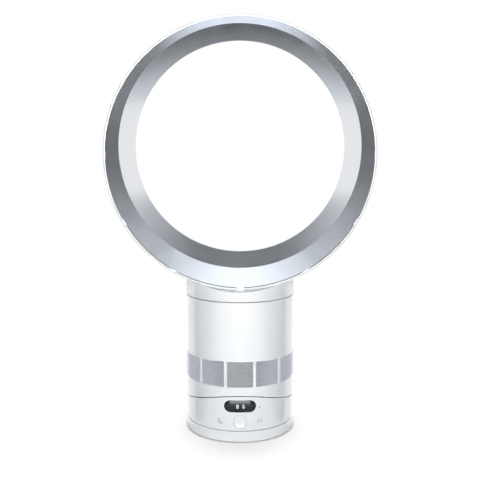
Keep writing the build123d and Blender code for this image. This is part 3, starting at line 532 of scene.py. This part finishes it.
def bakeTree(name, tree, values):
    # runs the tree on an empty mesh and hands back the plain mesh it makes
    carrier = bpy.data.objects.new(name + "Carrier", bpy.data.meshes.new(name + "Start"))
    bpy.context.collection.objects.link(carrier)
    modifier = carrier.modifiers.new("nodes", "NODES")
    modifier.node_group = tree
    for item in tree.interface.items_tree:
        if item.item_type == "SOCKET" and item.in_out == "INPUT" and item.name in values:
            modifier[item.identifier] = values[item.name]
    graph = bpy.context.evaluated_depsgraph_get()
    graph.update()
    mesh = bpy.data.meshes.new_from_object(carrier.evaluated_get(graph), depsgraph=graph)
    carrier.modifiers.remove(modifier)
    bpy.data.objects.remove(carrier)
    mesh.name = name
    return mesh


def panelPoints(tree, take, each):
    # a point for every copy on every panel, the copy's number on its panel, and the panel's angle
    points = addNode(tree, "GeometryNodePoints")
    tree.links.new(mathNode(tree, "MULTIPLY", take["Panels"], take[each]), points.inputs["Count"])
    index = addNode(tree, "GeometryNodeInputIndex").outputs[0]
    panel = mathNode(tree, "FLOOR", mathNode(tree, "DIVIDE", index, take[each]))
    number = mathNode(tree, "SUBTRACT", index, mathNode(tree, "MULTIPLY", panel, take[each]))
    around = mathNode(tree, "DIVIDE", mathNode(tree, "MULTIPLY", panel, 2 * math.pi), take["Panels"])
    return points.outputs[0], number, around


def putCopies(tree, take, outer, points, bar, angle):
    # turns each copy to its angle about the axis, makes the copies real and gives them their finish
    link = tree.links.new
    turn = addNode(tree, "ShaderNodeCombineXYZ")
    link(angle, turn.inputs["Z"])
    copies = addNode(tree, "GeometryNodeInstanceOnPoints")
    link(points, copies.inputs["Points"])
    link(bar, copies.inputs["Instance"])
    link(turn.outputs[0], copies.inputs["Rotation"])
    real = addNode(tree, "GeometryNodeRealizeInstances")
    link(copies.outputs[0], real.inputs[0])
    finish = addNode(tree, "GeometryNodeSetMaterial")
    link(real.outputs[0], finish.inputs["Geometry"])
    link(take["Finish"], finish.inputs["Material"])
    link(finish.outputs[0], outer.inputs[0])


def arcRowsTree():
    # short round bars that follow the casing, in rows, the same on every panel
    tree, take, outer = newGeometryTree("arcRows", [
        ("Panels", "NodeSocketInt", 12), ("Rows", "NodeSocketInt", 10), ("First", "NodeSocketFloat", 0.0),
        ("Pitch", "NodeSocketFloat", 0.002), ("Turn", "NodeSocketFloat", 0.0), ("Sweep", "NodeSocketFloat", 0.4),
        ("Radius", "NodeSocketFloat", 0.07), ("Thick", "NodeSocketFloat", 0.0005), ("Steps", "NodeSocketInt", 12),
        ("Sides", "NodeSocketInt", 10), ("Finish", "NodeSocketMaterial", None),
    ])
    link = tree.links.new
    points, row, around = panelPoints(tree, take, "Rows")
    height = mathNode(tree, "ADD", take["First"], mathNode(tree, "MULTIPLY", row, take["Pitch"]))
    start = mathNode(tree, "SUBTRACT", mathNode(tree, "ADD", around, take["Turn"]),
                     mathNode(tree, "DIVIDE", take["Sweep"], 2.0))
    spot = addNode(tree, "ShaderNodeCombineXYZ")
    link(height, spot.inputs["Z"])
    placed = addNode(tree, "GeometryNodeSetPosition")
    link(points, placed.inputs["Geometry"])
    link(spot.outputs[0], placed.inputs["Position"])
    arc = addNode(tree, "GeometryNodeCurveArc", mode="RADIUS")
    link(take["Steps"], arc.inputs["Resolution"])
    link(take["Radius"], arc.inputs["Radius"])
    link(take["Sweep"], arc.inputs["Sweep Angle"])
    arc.inputs["Start Angle"].default_value = 0.0
    profile = addNode(tree, "GeometryNodeCurvePrimitiveCircle")
    link(take["Sides"], profile.inputs["Resolution"])
    link(take["Thick"], profile.inputs["Radius"])
    bar = addNode(tree, "GeometryNodeCurveToMesh")
    link(arc.outputs["Curve"], bar.inputs["Curve"])
    link(profile.outputs["Curve"], bar.inputs["Profile Curve"])
    bar.inputs["Fill Caps"].default_value = True
    putCopies(tree, take, outer, placed.outputs[0], bar.outputs["Mesh"], start)
    return tree


def uprightsTree():
    # thin uprights inside the slots, that close the view into them from the side
    tree, take, outer = newGeometryTree("uprights", [
        ("Panels", "NodeSocketInt", 12), ("Count", "NodeSocketInt", 9), ("Step", "NodeSocketFloat", 0.04),
        ("Low", "NodeSocketFloat", 0.0), ("High", "NodeSocketFloat", 0.03), ("Radius", "NodeSocketFloat", 0.07),
        ("Width", "NodeSocketFloat", 0.0005), ("Depth", "NodeSocketFloat", 0.001),
        ("Finish", "NodeSocketMaterial", None),
    ])
    link = tree.links.new
    points, number, around = panelPoints(tree, take, "Count")
    middle = mathNode(tree, "DIVIDE", mathNode(tree, "SUBTRACT", take["Count"], 1.0), 2.0)
    aside = mathNode(tree, "MULTIPLY", mathNode(tree, "SUBTRACT", number, middle), take["Step"])
    size = addNode(tree, "ShaderNodeCombineXYZ")
    link(take["Depth"], size.inputs["X"])
    link(take["Width"], size.inputs["Y"])
    link(mathNode(tree, "SUBTRACT", take["High"], take["Low"]), size.inputs["Z"])
    bar = addNode(tree, "GeometryNodeMeshCube")
    link(size.outputs[0], bar.inputs["Size"])
    spot = addNode(tree, "ShaderNodeCombineXYZ")
    link(take["Radius"], spot.inputs["X"])
    link(mathNode(tree, "DIVIDE", mathNode(tree, "ADD", take["High"], take["Low"]), 2.0), spot.inputs["Z"])
    moved = addNode(tree, "GeometryNodeTransform")
    link(bar.outputs["Mesh"], moved.inputs["Geometry"])
    link(spot.outputs[0], moved.inputs["Translation"])
    putCopies(tree, take, outer, points, moved.outputs[0], mathNode(tree, "ADD", around, aside))
    return tree


def makeRows(name, tree, values, finish):
    mesh = bakeTree(name, tree, {**values, "Finish": paint[finish]})
    shadeSmooth(mesh, barCrease)
    addPiece(name, mesh, "body", finish)
    print(name, len(mesh.polygons))


rowsTree = arcRowsTree()
makeRows("inletSlats", rowsTree, slats, "silverGrille")
makeRows("inletUprights", uprightsTree(), uprights, "silverGrille")
makeRows("stripBeads", rowsTree, beads, "whiteShell")


# the crowned window over the display

window = {
    "radius": 0.0735, "back": 0.0716, "width": 0.042, "height": 0.0163, "z": 0.049, "gap": 0.00015,
    "crown": 0.0185, "rings": 10, "around": 96, "hub": 0.0001, "weld": 0.000001, "crease": 35.0,
}


def windowDepth(x, rise):
    # how far the crowned face lies behind the casing's cylinder
    straight = (window["width"] - window["height"]) / 2
    across = math.hypot(max(abs(x) - straight, 0.0), rise)
    return window["crown"] - math.sqrt(max(window["crown"] ** 2 - across ** 2, 0.0))


def windowPoint(x, rise, lift=0.0):
    radius = window["radius"] - windowDepth(x, rise) + lift
    return Vector((x, -math.sqrt(radius ** 2 - x ** 2), window["z"] + rise))


def windowOutline(reach):
    # points round a stadium, reach from its middle line
    straight = (window["width"] - window["height"]) / 2
    count = window["around"]
    points = []
    for step in range(count):
        turn = 2 * math.pi * (step + 0.5) / count
        side = straight if math.cos(turn) > 0 else -straight
        points.append((side + reach * math.cos(turn), reach * math.sin(turn)))
    return points


def makeWindow():
    build = bmesh.new()
    full = window["height"] / 2 - window["gap"]
    rings = []
    for ring in range(window["rings"] + 1):
        reach = full * ring / window["rings"]
        outline = windowOutline(max(reach, window["hub"]))
        rings.append([build.verts.new(windowPoint(x, rise)) for x, rise in outline])
    back = []
    for x, rise in windowOutline(full):
        back.append(build.verts.new((x, -math.sqrt(window["back"] ** 2 - x ** 2), window["z"] + rise)))
    for inside, outside in zip(rings, rings[1:] + [back]):
        for step in range(window["around"]):
            after = (step + 1) % window["around"]
            build.faces.new((inside[step], inside[after], outside[after], outside[step]))
    build.faces.new(rings[0])
    build.faces.new(list(reversed(back)))
    bmesh.ops.remove_doubles(build, verts=build.verts, dist=window["weld"])
    bmesh.ops.recalc_face_normals(build, faces=build.faces)
    mesh = bpy.data.meshes.new("displayWindow")
    build.to_mesh(mesh)
    build.free()
    shadeSmooth(mesh, window["crease"])
    return mesh


addPiece("displayWindow", makeWindow(), "base", "blackWindow", ["display_lens"])


# thin printed or lit marks, each one made of strips that follow the face they lie on

def addStrip(build, left, right, put, low, high):
    layers = []
    for lift in (low, high):
        layers.append([[build.verts.new(put(*point, lift)) for point in side] for side in (left, right)])
    (a, b), (c, d) = layers
    last = len(left) - 1
    for step in range(last):
        build.faces.new((c[step], c[step + 1], d[step + 1], d[step]))
        build.faces.new((a[step], b[step], b[step + 1], a[step + 1]))
        build.faces.new((a[step], a[step + 1], c[step + 1], c[step]))
        build.faces.new((b[step + 1], b[step], d[step], d[step + 1]))
    build.faces.new((a[0], c[0], d[0], b[0]))
    build.faces.new((a[last], b[last], d[last], c[last]))


def between(start, end, count):
    return [(start[0] + (end[0] - start[0]) * step / count, start[1] + (end[1] - start[1]) * step / count)
            for step in range(count + 1)]


def meshFrom(build, name):
    bmesh.ops.recalc_face_normals(build, faces=build.faces)
    mesh = bpy.data.meshes.new(name)
    build.to_mesh(mesh)
    build.free()
    return mesh


digits = {
    "shown": "86", "xs": (-0.0032, 0.0047), "rise": -0.0001, "width": 0.0031, "height": 0.0055, "stroke": 0.0009,
    "inset": 0.35, "steps": 5, "low": 0.00001, "high": 0.00006,
}
segments = {
    "0": "abcdef", "1": "bc", "2": "abged", "3": "abgcd", "4": "fgbc", "5": "afgcd", "6": "afgedc",
    "7": "abc", "8": "abcdefg", "9": "abcdfg",
}


def makeDigits():
    build = bmesh.new()
    halfWide = digits["width"] / 2 - digits["stroke"] / 2
    halfHigh = digits["height"] / 2 - digits["stroke"] / 2
    ends = {
        "a": ((-1, 1), (1, 1)), "b": ((1, 1), (1, 0)), "c": ((1, 0), (1, -1)), "d": ((-1, -1), (1, -1)),
        "e": ((-1, 0), (-1, -1)), "f": ((-1, 1), (-1, 0)), "g": ((-1, 0), (1, 0)),
    }

    for shown, middle in zip(digits["shown"], digits["xs"]):
        for letter in segments[shown]:
            (x1, z1), (x2, z2) = ends[letter]
            start = Vector((middle + x1 * halfWide, digits["rise"] + z1 * halfHigh))
            end = Vector((middle + x2 * halfWide, digits["rise"] + z2 * halfHigh))
            along = (end - start).normalized()
            side = Vector((-along.y, along.x)) * digits["stroke"] / 2
            inset = along * digits["stroke"] * digits["inset"]
            start, end = start + inset, end - inset
            addStrip(build, between(start + side, end + side, digits["steps"]),
                     between(start - side, end - side, digits["steps"]), windowPoint, digits["low"], digits["high"])
    return meshFrom(build, "displayDigits")


addPiece("displayDigits", makeDigits(), "base", "litDigits")

marks = {
    "radius": 0.0735, "low": -0.00002, "high": 0.00005, "z": 0.0285,
    "moonAngle": -20.0, "moonSize": 0.0043, "moonBite": 0.0041, "moonShift": (0.0021, 0.0018), "moonSteps": 30,
    "swingAngle": 20.8, "swingApart": 0.0021, "swingTall": 0.0062, "swingWide": 0.0034, "swingStem": 0.0009,
    "headFrom": 0.05, "headTip": 0.25, "headSteps": 6, "stemSteps": 4,
}


def onCasing(degrees):
    def put(across, rise, lift):
        angle = math.radians(degrees) + across / marks["radius"]
        radius = marks["radius"] + lift
        return Vector((radius * math.sin(angle), -radius * math.cos(angle), marks["z"] + rise))
    return put


def makeMoon():
    # the lit part of a disc that a second disc bites into
    build = bmesh.new()
    size, bite, (sx, sz) = marks["moonSize"], marks["moonBite"], marks["moonShift"]
    gap = math.hypot(sx, sz)
    toward = math.atan2(sz, sx)
    outerHalf = math.acos((size ** 2 + gap ** 2 - bite ** 2) / (2 * size * gap))
    biteHalf = math.acos((bite ** 2 + gap ** 2 - size ** 2) / (2 * bite * gap))
    outline, inside = [], []
    for step in range(1, marks["moonSteps"]):
        share = step / marks["moonSteps"]
        turn = toward + outerHalf + 2 * (math.pi - outerHalf) * share
        back = toward + biteHalf + 2 * (math.pi - biteHalf) * share
        outline.append((size * math.cos(turn), size * math.sin(turn)))
        inside.append((sx + bite * math.cos(back), sz + bite * math.sin(back)))
    addStrip(build, outline, inside, onCasing(marks["moonAngle"]), marks["low"], marks["high"])
    return meshFrom(build, "moonMark")


def makeSwingMark():
    # one arrow down and one arrow up, side by side
    build = bmesh.new()
    put = onCasing(marks["swingAngle"])
    tall, wide, stem = marks["swingTall"] / 2, marks["swingWide"] / 2, marks["swingStem"] / 2
    tip = stem * marks["headTip"]
    for way in (-1, 1):
        middle = way * marks["swingApart"]
        base = way * tall * marks["headFrom"]
        head = [between((middle + side * tip, way * tall), (middle + side * wide, base), marks["headSteps"])
                for side in (-1, 1)]
        shaft = [between((middle + side * stem, base), (middle + side * stem, -way * tall), marks["stemSteps"])
                 for side in (-1, 1)]
        for left, right in (head, shaft):
            addStrip(build, left, right, put, marks["low"], marks["high"])
    return meshFrom(build, "swingMark")


addPiece("moonMark", makeMoon(), "base", "printedGrey")
addPiece("swingMark", makeSwingMark(), "base", "printedGrey")
print("display and marks made")


# studio: pale floor, white surround, soft lamps, and cards for the metal and the lacquer to mirror

def seenDirectly(tree):
    # rays of the camera, and those that a mirror or clear plastic sends on
    rays = addNode(tree, "ShaderNodeLightPath")
    first = mathNode(tree, "MAXIMUM", rays.outputs["Is Camera Ray"], rays.outputs["Is Glossy Ray"])
    return mathNode(tree, "MAXIMUM", first, rays.outputs["Is Transmission Ray"])


studio = {
    "ambient": 0.045, "ambientTint": (0.97, 0.985, 1.0), "cardTint": (0.935, 0.985, 1.03),
    "floorSize": 9.0, "floorColour": (0.78, 0.79, 0.81), "white": (1, 1, 1, 1),
    # lift and shadowShape set where the floor's white glow fades, which paints a pale shade round the fan
    "lift": (0.08, 0.135, 0.6, 1.0), "shadowShape": (1.5, 1.0, 1.0), "clearOfFoot": (0.0725, 0.077),
}


def makeWorld():
    world = bpy.data.worlds.new("studio")
    world.use_nodes = True
    tree = world.node_tree
    tree.nodes.clear()
    lit = addNode(tree, "ShaderNodeBackground")
    setInputs(lit, {"Color": (*studio["ambientTint"], 1), "Strength": studio["ambient"]})
    shown = setInputs(addNode(tree, "ShaderNodeBackground"), {"Color": studio["white"], "Strength": 1.0})
    mix = addNode(tree, "ShaderNodeMixShader")
    tree.links.new(seenDirectly(tree), mix.inputs[0])
    tree.links.new(lit.outputs[0], mix.inputs[1])
    tree.links.new(shown.outputs[0], mix.inputs[2])
    tree.links.new(mix.outputs[0], addNode(tree, "ShaderNodeOutputWorld").inputs["Surface"])
    bpy.context.scene.world = world


def addStage(name, corners, material):
    mesh = bpy.data.meshes.new(name)
    mesh.from_pydata(corners, [], [(0, 1, 2, 3)])
    mesh.materials.append(material)
    sheet = bpy.data.objects.new(name, mesh)
    bpy.context.collection.objects.link(sheet)
    return sheet


def plainTree(name):
    material = bpy.data.materials.new(name)
    material.use_nodes = True
    material.node_tree.nodes.clear()
    return material, material.node_tree


def makeFloor():
    # pale near the fan and plain white further off: the white glow fades in an oval round the fan, which paints a pale
    # shade there, and the fan's real shadow shows in it
    material, tree = plainTree("paleFloor")
    plain = setInputs(addNode(tree, "ShaderNodeBsdfDiffuse"), {"Color": (*studio["floorColour"], 1)})
    white = setInputs(addNode(tree, "ShaderNodeEmission"), {"Color": studio["white"], "Strength": 1.0})
    place = addNode(tree, "ShaderNodeTexCoord").outputs["Object"]
    away = addNode(tree, "ShaderNodeVectorMath", operation="LENGTH")
    tree.links.new(place, away.inputs[0])
    # the painted shade reaches in front and behind, and hardly at the sides
    stretched = addNode(tree, "ShaderNodeVectorMath", operation="MULTIPLY")
    tree.links.new(place, stretched.inputs[0])
    stretched.inputs[1].default_value = studio["shadowShape"]
    reach = addNode(tree, "ShaderNodeVectorMath", operation="LENGTH")
    tree.links.new(stretched.outputs[0], reach.inputs[0])
    lift = rampNode(tree, reach.outputs["Value"], *studio["lift"])
    # nothing glows under the foot, so the gap above the floor stays dark
    clear = rampNode(tree, away.outputs["Value"], *studio["clearOfFoot"])
    mix = addNode(tree, "ShaderNodeMixShader")
    glow = mathNode(tree, "MULTIPLY", lift, clear)
    tree.links.new(mathNode(tree, "MULTIPLY", seenDirectly(tree), glow), mix.inputs[0])
    tree.links.new(plain.outputs[0], mix.inputs[1])
    tree.links.new(white.outputs[0], mix.inputs[2])
    tree.links.new(mix.outputs[0], addNode(tree, "ShaderNodeOutputMaterial").inputs["Surface"])
    # the white is only seen or mirrored, so no light is sought from it
    material.cycles.emission_sampling = "NONE"
    half = studio["floorSize"] / 2
    addStage("floor", [(-half, -half, 0), (half, -half, 0), (half, half, 0), (-half, half, 0)], material)


# a mirrored lamp or card stands on both sides
lamps = {
    "front": {"place": (0.0, -1.9, 1.0), "aim": (0, 0, 0.25), "size": (1.0, 1.5), "radiance": 3.1, "mirrored": False},
    "tall": {"place": (0.0, -0.75, 0.25), "aim": (0, 0, 0.25), "size": (0.2, 0.9), "radiance": 6.7, "mirrored": False},
    "top": {"place": (0.0, 0.2, 2.0), "aim": (0, 0, 0.3), "size": (1.4, 0.8), "radiance": 2.2, "mirrored": False},
    "back": {"place": (1.0, 1.05, 0.5), "aim": (0, 0, 0.3), "size": (0.9, 1.3), "radiance": 1.8, "mirrored": True},
    "far": {"place": (0.62, 1.3, 0.5), "aim": (0, 0, 0.3), "size": (0.9, 1.3), "radiance": 1.8, "mirrored": True},
}


def makeLamps():
    # lamps only light; what the gloss mirrors are the cards, the floor and the surround
    for name, values in lamps.items():
        x, y, z = values["place"]
        for side in (-1, 1) if values["mirrored"] else (1,):
            data = bpy.data.lights.new(name, "AREA")
            data.shape = "RECTANGLE"
            data.size, data.size_y = values["size"]
            data.energy = values["radiance"] * math.pi * data.size * data.size_y
            lamp = bpy.data.objects.new(name, data)
            lamp.location = (side * x, y, z)
            lamp.rotation_mode = "QUATERNION"
            lamp.rotation_quaternion = (Vector(values["aim"]) - lamp.location).to_track_quat("-Z", "Y")
            lamp.visible_camera = False
            lamp.visible_glossy = False
            bpy.context.collection.objects.link(lamp)


# cards that the metal and the lacquer mirror, with a tone at each end of a run along x (either side), y or z;
# sideLow is black, so the silver has something dark to show
cards = {
    "frontLow": {
        "corners": [(-0.8, -1.9, 0.1), (0.8, -1.9, 0.1), (0.8, -1.85, 0.9), (-0.8, -1.85, 0.9)],
        "along": "Z", "tones": (1.0, 7.0), "ends": (0.1, 0.6), "mirrored": False,
    },
    "frontHigh": {
        "corners": [(-1.0, -1.85, 0.9), (1.0, -1.85, 0.9), (1.0, -1.7, 1.75), (-1.0, -1.7, 1.75)],
        "along": "X", "tones": (1.35, 0.21), "ends": (0.15, 0.9), "mirrored": False,
    },
    "overhead": {
        "corners": [(-0.6, -0.85, 2.0), (0.6, -0.85, 2.0), (0.6, 0.1, 2.0), (-0.6, 0.1, 2.0)],
        "along": "X", "tones": (1.96, 0.94), "ends": (0.3, 0.6), "mirrored": False,
    },
    "floorFront": {
        "corners": [(-0.25, -0.36, 0.004), (0.25, -0.36, 0.004), (0.2, -0.08, 0.004), (-0.2, -0.08, 0.004)],
        "along": "Y", "tones": (0.82, 0.56), "ends": (-0.34, -0.18), "mirrored": False,
    },
    "side": {
        "corners": [(0.83, -1.8, 0), (0.9, -0.42, 0), (0.9, -0.42, 1.5), (0.83, -1.8, 1.5)],
        "along": "Y", "tones": (0.44, 0.1), "ends": (-1.5, -0.85), "mirrored": True,
    },
    "sideLow": {
        "corners": [(0.9, -0.42, 0), (0.95, 0.3, 0), (0.95, 0.3, 0.07), (0.9, -0.42, 0.07)],
        "along": "Y", "tones": (0.0, 0.0), "ends": (0.0, 1.0), "mirrored": True,
    },
    "floorSide": {
        "corners": [(0.1, -0.06, 0.004), (0.95, -0.8, 0.004), (0.95, 0.33, 0.004), (0.1, -0.03, 0.004)],
        "along": "Y", "tones": (0.183, 0.179), "ends": (-0.15, -0.09), "mirrored": True,
    },
    "floorBack": {
        "corners": [(0.078, -0.028, 0.004), (0.95, 0.33, 0.004), (0.95, 0.85, 0.004), (0.078, 0.85, 0.004)],
        "along": "Y", "tones": (1.45, 1.5), "ends": (0.0, 0.6), "mirrored": True,
    },
    "backLow": {
        "corners": [(-0.35, 0.3, 0.25), (0.35, 0.3, 0.25), (0.35, 0.8, 0.25), (-0.35, 0.8, 0.25)],
        "along": "Y", "tones": (0.0, 0.76), "ends": (0.455, 0.68), "mirrored": False,
    },
    "backHigh": {
        "corners": [(-0.95, 1.7, 0.75), (0.95, 1.7, 0.75), (0.95, 1.7, 1.6), (-0.95, 1.7, 1.6)],
        "along": "X", "tones": (0.169, 0.606), "ends": (0.35, 0.8), "mirrored": False,
    },
}


def makeCards():
    for name, values in cards.items():
        material, tree = plainTree(name + "Card")
        split = addNode(tree, "ShaderNodeSeparateXYZ")
        tree.links.new(addNode(tree, "ShaderNodeTexCoord").outputs["Object"], split.inputs[0])
        run = split.outputs[values["along"]]
        if values["along"] == "X":
            run = mathNode(tree, "ABSOLUTE", run)
        cloth = setInputs(addNode(tree, "ShaderNodeEmission"), {"Color": (*studio["cardTint"], 1)})
        tree.links.new(rampNode(tree, run, *values["ends"], *values["tones"]), cloth.inputs["Strength"])
        tree.links.new(cloth.outputs[0], addNode(tree, "ShaderNodeOutputMaterial").inputs["Surface"])
        for side in (1, -1) if values["mirrored"] else (1,):
            corners = [(side * x, y, z) for x, y, z in values["corners"]]
            card = addStage(name + "Card", corners, material)
            card.visible_camera = False
            card.visible_shadow = False
            card.visible_diffuse = False


makeWorld()
makeFloor()
makeLamps()
makeCards()
print("studio set")
